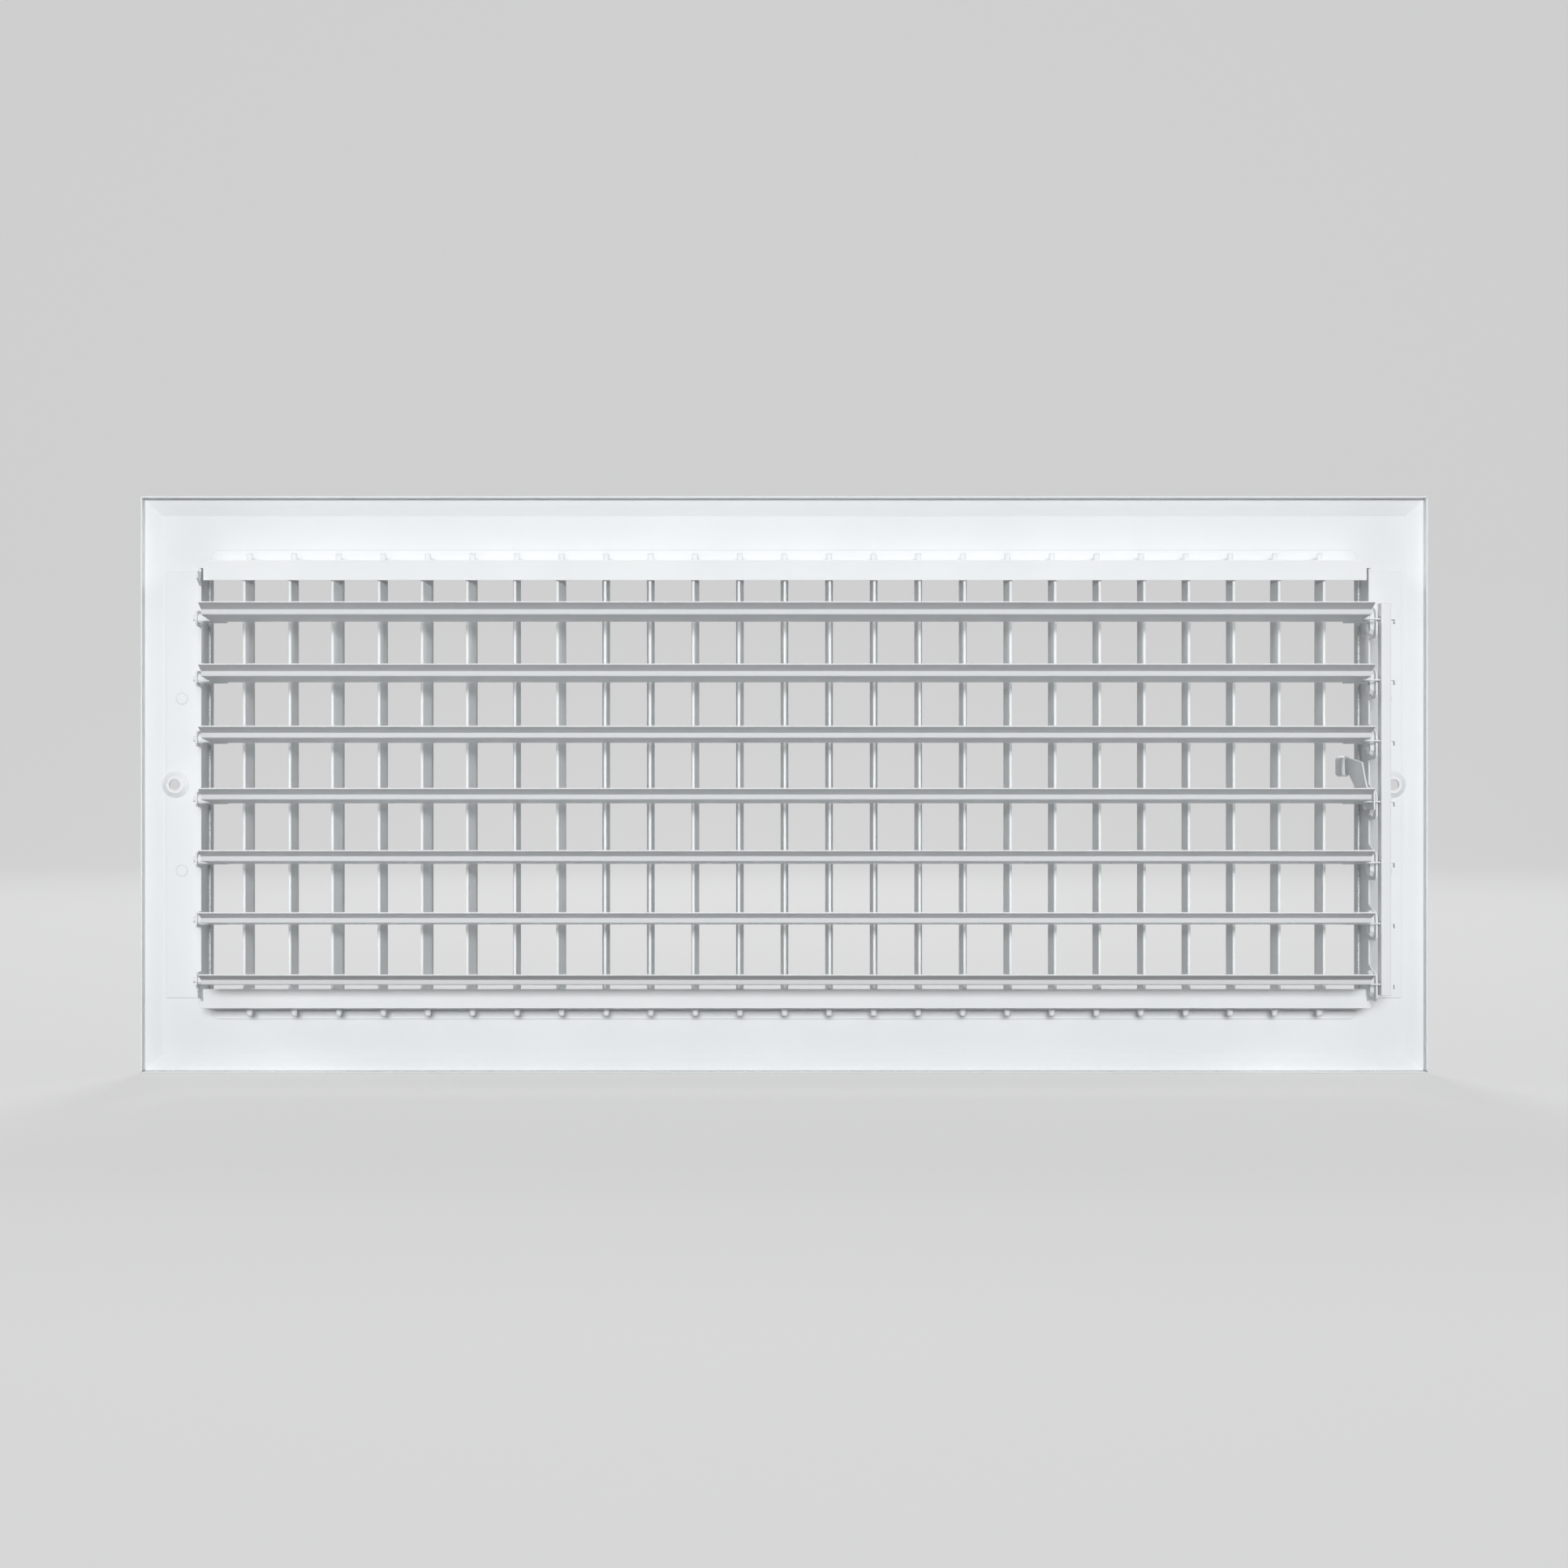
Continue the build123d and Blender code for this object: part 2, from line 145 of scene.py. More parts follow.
def unselect(mesh: bpy.types.Mesh) -> None:
    """Clear the edit selection of a mesh.

    Args:
        mesh: The mesh to clear.
    """
    for part in (*mesh.vertices, *mesh.edges, *mesh.polygons):
        part.select = False


def pick_faces(piece: bpy.types.Object, direction: Vector) -> None:
    """Select, for edit mode, the faces whose normal lies along a direction.

    Args:
        piece: The object whose faces are chosen.
        direction: Unit vector the normals have to follow.
    """
    unselect(piece.data)
    for face in piece.data.polygons:
        face.select = face.normal.dot(direction) > FACING_COSINE


def joined(pieces: Sequence[bpy.types.Object], name: str) -> bpy.types.Object:
    """Join objects into one named piece.

    Args:
        pieces: The objects to join; the first one stays.
        name: Name of the piece.

    Returns:
        The joined piece.
    """
    only(pieces[0])
    for piece in pieces[1:]:
        piece.select_set(True)
    bpy.ops.object.join()
    pieces[0].name = name
    pieces[0].data.name = name
    return pieces[0]


def copy_of(piece: bpy.types.Object, offset: Vector) -> bpy.types.Object:
    """Copy a settled piece with a mesh of its own.

    Args:
        piece: The piece to copy.
        offset: How far the copy is moved, in metres.

    Returns:
        The settled copy.
    """
    twin = piece.copy()
    twin.data = piece.data.copy()
    bpy.context.scene.collection.objects.link(twin)
    twin.location = offset
    settle(twin)
    return twin


def dress(piece: bpy.types.Object, material: bpy.types.Material) -> None:
    """Give an object one material.

    Args:
        piece: The object to dress.
        material: Its only material.
    """
    piece.data.materials.clear()
    piece.data.materials.append(material)


@dataclass
class Wiring:
    """Small helper that adds nodes to a tree and links them."""

    tree: bpy.types.NodeTree
    column: int = 0

    def add(self, kind: str, **settings: object) -> bpy.types.Node:
        """Add a node.

        Args:
            kind: Node type.
            **settings: Attributes of the node.

        Returns:
            The new node.
        """
        node = self.tree.nodes.new(kind)
        for name, value in settings.items():
            setattr(node, name, value)
        node.location = (self.column * NODE_STEP[0], -(self.column % NODE_ROWS) * NODE_STEP[1])
        self.column += 1
        return node

    def link(self, source: bpy.types.NodeSocket, target: bpy.types.NodeSocket) -> None:
        """Link two sockets."""
        self.tree.links.new(source, target)

    def feed(self, value: object, target: bpy.types.NodeSocket) -> None:
        """Link a socket into an input, or set the input to a plain value.

        Args:
            value: Number, colour with alpha, or socket.
            target: The input.
        """
        if isinstance(value, bpy.types.NodeSocket):
            self.link(value, target)
        else:
            target.default_value = value

    def math(self, operation: str, first: object, second: object = 0.0) -> bpy.types.NodeSocket:
        """Add a math node.

        Args:
            operation: Blender's name of the operation.
            first: Number or socket.
            second: Number or socket.

        Returns:
            The result's socket.
        """
        node = self.add("ShaderNodeMath", operation=operation)
        for place, value in enumerate((first, second)):
            self.feed(value, node.inputs[place])
        return node.outputs[0]

    def noise(
        self,
        vector: bpy.types.NodeSocket,
        scale: object,
        detail: float,
    ) -> bpy.types.NodeSocket:
        """Add a noise texture.

        Args:
            vector: Coordinates.
            scale: Number or socket.
            detail: Octaves.

        Returns:
            The noise value's socket.
        """
        node = self.add("ShaderNodeTexNoise")
        node.inputs["Detail"].default_value = detail
        self.link(vector, node.inputs["Vector"])
        self.feed(scale, node.inputs["Scale"])
        return node.outputs["Fac"]

    def band(
        self,
        value: bpy.types.NodeSocket,
        low: float,
        high: float,
        to_low: float = 0.0,
        to_high: float = 1.0,
    ) -> bpy.types.NodeSocket:
        """Map a value from one range to another, clamped.

        Args:
            value: The value's socket.
            low: Start of the input range.
            high: End of the input range.
            to_low: Start of the output range.
            to_high: End of the output range.

        Returns:
            The mapped value's socket.
        """
        node = self.add("ShaderNodeMapRange")
        limits = {"From Min": low, "From Max": high, "To Min": to_low, "To Max": to_high}
        for name, number in limits.items():
            node.inputs[name].default_value = number
        self.link(value, node.inputs["Value"])
        return node.outputs["Result"]

    def blend(
        self,
        mask: bpy.types.NodeSocket,
        first: object,
        second: object,
    ) -> bpy.types.NodeSocket:
        """Mix two colours by a mask.

        Args:
            mask: Share of the second colour.
            first: Colour or socket.
            second: Colour or socket.

        Returns:
            The mixed colour's socket.
        """
        node = self.add("ShaderNodeMix", data_type="RGBA")
        self.link(mask, node.inputs["Factor"])
        for name, value in (("A", first), ("B", second)):
            socket = next(s for s in node.inputs if s.name == name and s.type == "RGBA")
            self.feed((*value, 1.0) if isinstance(value, tuple) else value, socket)
        return next(s for s in node.outputs if s.type == "RGBA")


def new_group(
    name: str,
    inputs: Iterable[tuple[str, str]],
    outputs: Iterable[tuple[str, str]],
) -> Wiring:
    """Start a shader node group.

    Args:
        name: Name of the group.
        inputs: Names and socket types of the inputs.
        outputs: Names and socket types of the outputs.

    Returns:
        Wiring of the group's tree.
    """
    tree = bpy.data.node_groups.new(name, "ShaderNodeTree")
    for in_out, sockets in (("INPUT", inputs), ("OUTPUT", outputs)):
        for label, kind in sockets:
            tree.interface.new_socket(name=label, in_out=in_out, socket_type=f"NodeSocket{kind}")
    return Wiring(tree)


@dataclass(frozen=True)
class CoatGrain:
    """Grain that all coats share: orange peel with fine dust nibs, and soft clouds."""

    peel_detail: float = 2.0
    cloud_detail: float = 3.0
    cloud_band: Span = (0.3, 0.7)
    nib_fineness: float = 3.1
    nib_band: Span = (0.74, 0.82)
    nib_height: float = 0.6

    def group(self) -> bpy.types.NodeTree:
        """Build the node group.

        Returns:
            Group with Height and Cloud outputs.
        """
        wiring = new_group(
            "coat_grain",
            (("Vector", "Vector"), ("Peel Scale", "Float"), ("Cloud Scale", "Float")),
            (("Height", "Float"), ("Cloud", "Float")),
        )
        given, result = wiring.add("NodeGroupInput"), wiring.add("NodeGroupOutput")
        place = given.outputs["Vector"]
        peel = wiring.noise(place, given.outputs["Peel Scale"], self.peel_detail)
        cloud = wiring.noise(place, given.outputs["Cloud Scale"], self.cloud_detail)
        fine_scale = wiring.math("MULTIPLY", given.outputs["Peel Scale"], self.nib_fineness)
        nibs = wiring.band(wiring.noise(place, fine_scale, 0.0), *self.nib_band)
        height = wiring.math("ADD", peel, wiring.math("MULTIPLY", nibs, self.nib_height))
        wiring.link(height, result.inputs["Height"])
        wiring.link(wiring.band(cloud, *self.cloud_band), result.inputs["Cloud"])
        return wiring.tree


@dataclass(frozen=True)
class BendEdge:
    """Softened bends and edges of folded sheet."""

    samples: int = 6
    edge_band: Span = (0.985, 0.86)

    def group(self) -> bpy.types.NodeTree:
        """Build the node group.

        Returns:
            Group with a rounded Normal and an Edge mask that is 1 on outer and inner bends.
        """
        wiring = new_group(
            "bend_edge",
            (("Width", "Float"),),
            (("Normal", "Vector"), ("Edge", "Float")),
        )
        given, result = wiring.add("NodeGroupInput"), wiring.add("NodeGroupOutput")
        bevel = wiring.add("ShaderNodeBevel", samples=self.samples)
        wiring.link(given.outputs["Width"], bevel.inputs["Radius"])
        facing = wiring.add("ShaderNodeNewGeometry")
        dot = wiring.add("ShaderNodeVectorMath", operation="DOT_PRODUCT")
        wiring.link(bevel.outputs["Normal"], dot.inputs[0])
        wiring.link(facing.outputs["Normal"], dot.inputs[1])
        wiring.link(bevel.outputs["Normal"], result.inputs["Normal"])
        wiring.link(wiring.band(dot.outputs["Value"], *self.edge_band), result.inputs["Edge"])
        return wiring.tree


@dataclass(frozen=True)
class CutEdge:
    """Zone of a sheared sheet edge where the coat is thin and steel shows in specks."""

    half_width: float
    half_height: float
    front: float
    steel: Colour = (0.46, 0.47, 0.48)
    speck_scale: float = 2400.0
    speck_detail: float = 2.0
    speck_band: Span = (0.5, 0.62)
    added_roughness: float = 0.15
    metal_share: float = 0.5

    def mask(self, wiring: Wiring, place: bpy.types.NodeSocket) -> bpy.types.NodeSocket:
        """Find the specks inside the zone.

        Args:
            wiring: Wiring of the material.
            place: Object coordinates.

        Returns:
            Socket of the mask.
        """
        axes = wiring.add("ShaderNodeSeparateXYZ")
        wiring.link(place, axes.inputs[0])
        across = wiring.math("ABSOLUTE", axes.outputs["X"])
        inside = wiring.math("LESS_THAN", across, self.half_width)
        for socket, limit in (
            (wiring.math("ABSOLUTE", axes.outputs["Z"]), self.half_height),
            (axes.outputs["Y"], self.front),
        ):
            inside = wiring.math("MULTIPLY", inside, wiring.math("LESS_THAN", socket, limit))
        grain = wiring.noise(place, self.speck_scale, self.speck_detail)
        specks = wiring.band(grain, *self.speck_band)
        return wiring.math("MULTIPLY", inside, specks)


@dataclass(frozen=True)
class Coat:
    """A baked enamel or coil coat on sheet steel, with painted shade in its creases and a painted highlight on its
    bends and edges.
    """

    slot: Slot
    colour: Colour
    shade: Colour
    # Painted highlight: the lighter colour that bends and edges are blended towards.
    edge_highlight: Colour
    roughness: Span
    peel_scale: float
    peel_depth: float
    cloud_scale: float
    edge_width: float
    # Share of the painted edge highlight on bends and edges.
    edge_highlight_share: float
    # Painted shade: the colour that creases, seams and recesses are darkened towards, found by ambient occlusion
    # within the reach below.
    painted_crease_shade: Colour
    crease_shade_reach: float
    stretch: Optional[Triple] = None
    cut_edge: Optional[CutEdge] = None
    crease_shade_band: Span = (0.96, 0.5)
    crease_shade_samples: int = 4
    specular: float = 0.3

    def material(self, grain: bpy.types.NodeTree, bends: bpy.types.NodeTree) -> bpy.types.Material:
        """Build the material.

        Args:
            grain: The shared coat grain group.
            bends: The shared bend edge group.

        Returns:
            The new material.
        """
        made = bpy.data.materials.new(self.slot.value)
        made.use_nodes = True
        wiring = Wiring(made.node_tree)
        shader = made.node_tree.nodes["Principled BSDF"]
        place = wiring.add("ShaderNodeTexCoord").outputs["Object"]
        texture = wiring.add("ShaderNodeGroup", node_tree=grain)
        texture.inputs["Peel Scale"].default_value = self.peel_scale
        texture.inputs["Cloud Scale"].default_value = self.cloud_scale
        if self.stretch:
            mapping = wiring.add("ShaderNodeMapping")
            mapping.inputs["Scale"].default_value = self.stretch
            wiring.link(place, mapping.inputs["Vector"])
            wiring.link(mapping.outputs["Vector"], texture.inputs["Vector"])
        else:
            wiring.link(place, texture.inputs["Vector"])
        bend = wiring.add("ShaderNodeGroup", node_tree=bends)
        bend.inputs["Width"].default_value = self.edge_width
        colour = wiring.blend(texture.outputs["Cloud"], self.colour, self.shade)
        # Painted highlight: bends and edges are lightened towards the edge-highlight colour.
        edge_highlight_mask = wiring.math("MULTIPLY", bend.outputs["Edge"], self.edge_highlight_share)
        colour = wiring.blend(edge_highlight_mask, colour, self.edge_highlight)
        # Painted shade: ambient occlusion within a short reach darkens creases, seams and recesses towards the
        # painted crease-shade colour.
        crease_occlusion = wiring.add("ShaderNodeAmbientOcclusion", samples=self.crease_shade_samples)
        crease_occlusion.inputs["Distance"].default_value = self.crease_shade_reach
        crease_shade_mask = wiring.band(crease_occlusion.outputs["AO"], *self.crease_shade_band)
        colour = wiring.blend(crease_shade_mask, colour, self.painted_crease_shade)
        rough = wiring.band(texture.outputs["Cloud"], 0.0, 1.0, *self.roughness)
        if self.cut_edge:
            bare = self.cut_edge
            specks = bare.mask(wiring, place)
            colour = wiring.blend(specks, colour, bare.steel)
            added = wiring.math("MULTIPLY", specks, bare.added_roughness)
            rough = wiring.math("ADD", rough, added)
            metal = wiring.math("MULTIPLY", specks, bare.metal_share)
            wiring.link(metal, shader.inputs["Metallic"])
        bump = wiring.add("ShaderNodeBump")
        bump.inputs["Distance"].default_value = self.peel_depth
        wiring.link(texture.outputs["Height"], bump.inputs["Height"])
        wiring.link(bend.outputs["Normal"], bump.inputs["Normal"])
        wiring.link(colour, shader.inputs["Base Color"])
        wiring.link(rough, shader.inputs["Roughness"])
        wiring.link(bump.outputs["Normal"], shader.inputs["Normal"])
        shader.inputs["Specular IOR Level"].default_value = self.specular
        return made


@dataclass(frozen=True)
class Plastic:
    """A milky moulded plastic."""

    slot: Slot
    colour: Colour
    shade: Colour
    roughness: Span
    flow_scale: float
    flow_depth: float
    fine_ratio: float = 4.0
    edge_width: float = 0.3 * MM
    milkiness: float = 0.3
    milk_radius: Triple = (1.0, 1.0, 1.0)
    milk_depth: float = 1.5 * MM

    def material(self, grain: bpy.types.NodeTree, bends: bpy.types.NodeTree) -> bpy.types.Material:
        """Build the material.

        Args:
            grain: The shared coat grain group, used for faint moulding flow.
            bends: The shared bend edge group.

        Returns:
            The new material.
        """
        made = bpy.data.materials.new(self.slot.value)
        made.use_nodes = True
        wiring = Wiring(made.node_tree)
        shader = made.node_tree.nodes["Principled BSDF"]
        place = wiring.add("ShaderNodeTexCoord").outputs["Object"]
        flow = wiring.add("ShaderNodeGroup", node_tree=grain)
        flow.inputs["Peel Scale"].default_value = self.flow_scale * self.fine_ratio
        flow.inputs["Cloud Scale"].default_value = self.flow_scale
        wiring.link(place, flow.inputs["Vector"])
        bend = wiring.add("ShaderNodeGroup", node_tree=bends)
        bend.inputs["Width"].default_value = self.edge_width
        colour = wiring.blend(flow.outputs["Cloud"], self.colour, self.shade)
        rough = wiring.band(flow.outputs["Cloud"], 0.0, 1.0, *self.roughness)
        bump = wiring.add("ShaderNodeBump")
        bump.inputs["Distance"].default_value = self.flow_depth
        wiring.link(flow.outputs["Height"], bump.inputs["Height"])
        wiring.link(bend.outputs["Normal"], bump.inputs["Normal"])
        wiring.link(colour, shader.inputs["Base Color"])
        wiring.link(rough, shader.inputs["Roughness"])
        wiring.link(bump.outputs["Normal"], shader.inputs["Normal"])
        shader.inputs["Subsurface Weight"].default_value = self.milkiness
        shader.inputs["Subsurface Radius"].default_value = self.milk_radius
        shader.inputs["Subsurface Scale"].default_value = self.milk_depth
        return made


COLLAR_EDGE = CutEdge(half_width=248.5 * MM, half_height=96.5 * MM, front=2.0 * MM)
ENAMEL = Coat(
    slot=Slot.FRAME,
    colour=(0.845, 0.865, 0.875),
    shade=(0.825, 0.847, 0.858),
    # Painted highlight on the bends and edges of the enamel.
    edge_highlight=(0.88, 0.89, 0.895),
    roughness=(0.52, 0.62),
    peel_scale=650.0,
    peel_depth=0.02 * MM,
    cloud_scale=22.0,
    edge_width=0.2 * MM,
    edge_highlight_share=0.5,
    # Painted shade in the creases and seams of the enamel.
    painted_crease_shade=(0.64, 0.66, 0.675),
    crease_shade_reach=0.6 * MM,
)
COIL_COAT = Coat(
    slot=Slot.BLADE,
    colour=(0.83, 0.85, 0.86),
    shade=(0.81, 0.83, 0.842),
    # Painted highlight on the bends and edges of the coil coat.
    edge_highlight=(0.88, 0.89, 0.90),
    roughness=(0.45, 0.55),
    peel_scale=420.0,
    peel_depth=0.008 * MM,
    cloud_scale=60.0,
    edge_width=0.1 * MM,
    edge_highlight_share=0.6,
    # Painted shade in the creases and seams of the coil coat.
    painted_crease_shade=(0.68, 0.70, 0.71),
    crease_shade_reach=0.5 * MM,
    stretch=(0.06, 1.0, 1.0),
)
KNOB_PLASTIC = Plastic(
    slot=Slot.KNOB,
    colour=(0.82, 0.86, 0.885),
    shade=(0.79, 0.83, 0.86),
    roughness=(0.26, 0.34),
    flow_scale=180.0,
    flow_depth=0.006 * MM,
)
FINISHES: tuple[Coat | Plastic, ...] = (
    replace(ENAMEL, slot=Slot.FACE, edge_width=0.25 * MM, cut_edge=COLLAR_EDGE),
    ENAMEL,
    replace(ENAMEL, slot=Slot.FIN, edge_width=0.6 * MM),
    COIL_COAT,
    replace(COIL_COAT, slot=Slot.LINKAGE, edge_width=0.5 * MM, stretch=(1.0, 1.0, 0.1)),
    KNOB_PLASTIC,
)


@dataclass
class FinishShelf:
    """All finishes of the register, built once."""

    materials: dict[Slot, bpy.types.Material] = field(default_factory=dict)

    def build(self) -> None:
        """Build every material from its finish."""
        grain, bends = CoatGrain().group(), BendEdge().group()
        for finish in FINISHES:
            self.materials[finish.slot] = finish.material(grain, bends)

    def dress_solids(self) -> None:
        """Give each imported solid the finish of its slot."""
        for entry in frame["record"]["subparts"]:
            dress(frame["nodes"][entry["node"]], self.materials[Slot(entry["material_slot"])])

    def add(self, piece: bpy.types.Object, slot: Slot, body: str, *replaced: str) -> None:
        """Dress a new piece, seat it on its body and report it.

        Args:
            piece: The new piece.
            slot: Material slot of its finish.
            body: Name of the body it rides on.
            *replaced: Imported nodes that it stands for.
        """
        dress(piece, self.materials[slot])
        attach(piece, body)
        if replaced:
            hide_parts(*replaced)
        LOG.info("%s rides on %s, %d faces", piece.name, body, len(piece.data.polygons))


@dataclass
class FaceFrame:
    """The fixed frame: rims of the clinched joints on the side plates' flanges."""

    rim_radius: float = 2.45 * MM
    rim_thickness: float = 0.17 * MM
    rim_flatness: float = 0.6
    rim_segments: int = 48
    rim_sides: int = 10
    clinch_x: float = 259.8 * MM
    clinch_z: float = 37.1 * MM
    flange_sheet: float = 0.7 * MM
    panel_back: float = 6.4 * MM

    def clinch_rims(self) -> bpy.types.Object:
        """Model one flattened rim and copy it to every clinch.

        Returns:
            All rims as one piece.
        """
        seat = self.panel_back - self.flange_sheet
        bpy.ops.mesh.primitive_torus_add(
            major_radius=self.rim_radius,
            minor_radius=self.rim_thickness,
            major_segments=self.rim_segments,
            minor_segments=self.rim_sides,
            rotation=(RIGHT_ANGLE, 0, 0),
        )
        first = bpy.context.active_object
        settle(first)
        bpy.ops.object.mode_set(mode="EDIT")
        bpy.ops.mesh.select_all(action="SELECT")
        bpy.ops.transform.resize(value=(1, self.rim_flatness, 1))
        bpy.ops.object.mode_set(mode="OBJECT")
        bpy.ops.object.shade_smooth()
        rims = [
            copy_of(first, Vector((sx * self.clinch_x, seat, sz * self.clinch_z)))
            for sx in (-1, 1)
            for sz in (-1, 1)
        ]
        bpy.data.objects.remove(first)
        return joined(rims, "clinch_rims")

    def build(self, shelf: FinishShelf) -> None:
        """Build and seat the rims.

        Args:
            shelf: The finishes.
        """
        shelf.add(self.clinch_rims(), Slot.FRAME, Body.FRAME.value)


@dataclass
class FinBank:
    """The upright fins: rounded heads on the pins that stand out of the rails."""

    head_radius: float = 1.3 * MM
    rail_sheet: float = 0.7 * MM
    rail_gap: float = 0.05 * MM
    head_proud: float = 0.05 * MM
    head_round: float = 0.55 * MM
    head_sides: int = 24
    round_segments: int = 3
    smooth_angle: float = math.radians(50)
    top_rail: str = "top_fin_rail"

    def pin_head(self, end: End, place: Vector, start: float, tip: float) -> bpy.types.Object:
        """Model one head with a rounded end.

        Args:
            end: End of the fin.
            place: A point on the fin's axis.
            start: Height of the rail's outer face, from the middle.
            tip: Height of the head's end, from the middle.

        Returns:
            The settled head.
        """
        bpy.ops.mesh.primitive_cylinder_add(
            vertices=self.head_sides,
            radius=self.head_radius,
            depth=tip - start,
            location=(place.x, place.y, end.value * (start + tip) / 2),
        )
        head = bpy.context.active_object
        settle(head)
        pick_faces(head, Vector((0, 0, end.value)))
        bpy.ops.object.mode_set(mode="EDIT")
        bpy.ops.mesh.select_mode(type="FACE")
        bpy.ops.mesh.bevel(offset=self.head_round, segments=self.round_segments, affect="EDGES")
        bpy.ops.object.mode_set(mode="OBJECT")
        bpy.ops.object.shade_smooth_by_angle(angle=self.smooth_angle)
        return head

    def build(self, shelf: FinishShelf) -> None:
        """Build both heads of every fin and seat them on it.

        Args:
            shelf: The finishes.
        """
        rail_low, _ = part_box(self.top_rail)
        start = rail_low.z + self.rail_sheet + self.rail_gap
        for joint in frame["joints"]:
            fin = joint["child"]
            if not fin.startswith("fin_"):
                continue
            _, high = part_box(fin)
            place = Vector(joint["pos_m"])
            tip = high.z + self.head_proud
            heads = [self.pin_head(end, place, start, tip) for end in End]
            shelf.add(joined(heads, f"{fin}_pin_heads"), Slot.FIN, fin)


@dataclass
class DamperBank:
    """The damper blades: smooth barrels in the side plates, rounded tips outside the left one."""

    barrel_radius: float = 2.14 * MM
    barrel_wall: float = 0.7 * MM
    barrel_start: float = 241.5 * MM
    barrel_end: float = 247.72 * MM
    barrel_sides: int = 32
    end_round: float = 0.12 * MM
    end_segments: int = 2
    end_smooth_angle: float = math.radians(45)
    tip_radius: float = 1.24 * MM
    tip_sides: int = 28
    tip_round: float = 0.7 * MM
    tip_segments: int = 4
    tip_smooth_angle: float = math.radians(50)
    tip_proud: float = 0.04 * MM

    def barrel(self, low: float, high: float, place: Vector) -> bpy.types.Object:
        """Model one open tube along X.

        Args:
            low: Where it starts along X.
            high: Where it ends along X.
            place: A point on the pivot's axis.

        Returns:
            The settled tube.
        """
        bpy.ops.mesh.primitive_cylinder_add(
            vertices=self.barrel_sides,
            radius=self.barrel_radius,
            depth=high - low,
            end_fill_type="NOTHING",
            location=((low + high) / 2, place.y, place.z),
            rotation=(0, RIGHT_ANGLE, 0),
        )
        tube = bpy.context.active_object
        settle(tube)
        finish_with(tube, "SOLIDIFY", thickness=self.barrel_wall, offset=-1.0)
        finish_with(
            tube,
            "BEVEL",
            width=self.end_round,
            segments=self.end_segments,
            limit_method="ANGLE",
        )
        bpy.ops.object.shade_smooth_by_angle(angle=self.end_smooth_angle)
        return tube

    def tip(self, low: float, place: Vector) -> bpy.types.Object:
        """Model the rounded tip that stands out of the left side plate.

        Args:
            low: Where it ends along X.
            place: A point on the pivot's axis.

        Returns:
            The settled tip.
        """
        bpy.ops.mesh.primitive_cylinder_add(
            vertices=self.tip_sides,
            radius=self.tip_radius,
            depth=-self.barrel_end - low,
            location=((low - self.barrel_end) / 2, place.y, place.z),
            rotation=(0, RIGHT_ANGLE, 0),
        )
        nub = bpy.context.active_object
        settle(nub)
        pick_faces(nub, Vector((-1, 0, 0)))
        bpy.ops.object.mode_set(mode="EDIT")
        bpy.ops.mesh.select_mode(type="FACE")
        bpy.ops.mesh.bevel(offset=self.tip_round, segments=self.tip_segments, affect="EDGES")
        bpy.ops.object.mode_set(mode="OBJECT")
        bpy.ops.object.shade_smooth_by_angle(angle=self.tip_smooth_angle)
        return nub

    def build(self, shelf: FinishShelf) -> None:
        """Build the barrels of every blade and seat them on it.

        Args:
            shelf: The finishes.
        """
        for joint in frame["joints"]:
            blade = joint["child"]
            if not blade.startswith("blade_"):
                continue
            low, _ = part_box(blade)
            place = Vector(joint["pos_m"])
            tubes = [
                self.barrel(-self.barrel_end, -self.barrel_start, place),
                self.barrel(self.barrel_start, self.barrel_end, place),
                self.tip(low.x - self.tip_proud, place),
            ]
            shelf.add(joined(tubes, f"{blade}_barrels"), Slot.BLADE, blade)


@dataclass
class LeverKnob:
    """The soft sleeve on the front end of the damper lever."""

    mouth_inset: float = 0.55 * MM / 3
    mouth_depth: float = 1.6 * MM
    corner_round: float = 1.5 * MM
    corner_segments: int = 5
    smooth_angle: float = math.radians(40)
    node: str = "lever_knob"

    def build(self, shelf: FinishShelf) -> None:
        """Model the sleeve with a recessed mouth and rounded corners.

        Args:
            shelf: The finishes.
        """
        low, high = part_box(self.node)
        bpy.ops.mesh.primitive_cube_add(size=1, location=(low + high) / 2)
        sleeve = bpy.context.active_object
        sleeve.name = "knob_sleeve"
        sleeve.scale = high - low
        settle(sleeve)
        finish_with(
            sleeve,
            "BEVEL",
            width=self.corner_round,
            segments=self.corner_segments,
            limit_method="ANGLE",
        )
        pick_faces(sleeve, Vector((0, -1, 0)))
        bpy.ops.object.mode_set(mode="EDIT")
        bpy.ops.mesh.select_mode(type="FACE")
        bpy.ops.mesh.inset(thickness=self.mouth_inset, depth=0)
        inward = (0, self.mouth_depth, 0)
        bpy.ops.mesh.extrude_region_move(TRANSFORM_OT_translate={"value": inward})
        bpy.ops.object.mode_set(mode="OBJECT")
        bpy.ops.object.shade_smooth_by_angle(angle=self.smooth_angle)
        shelf.add(sleeve, Slot.KNOB, Body.LEVER_BLADE.value, self.node)


@dataclass(frozen=True)
class SoftLamp:
    """A rectangular lamp panel aimed at the register."""

    name: str
    place: Triple
    size: Span
    watts: float

    def build(self) -> None:
        """Add the lamp to the scene."""
        bpy.ops.object.light_add(type="AREA", location=self.place)
        lamp = bpy.context.active_object
        lamp.name = self.name
        lamp.data.shape = "RECTANGLE"
        lamp.data.size, lamp.data.size_y = self.size
        lamp.data.energy = self.watts
        lamp.rotation_mode = "QUATERNION"
        lamp.rotation_quaternion = (-Vector(self.place)).to_track_quat("-Z", "Y")


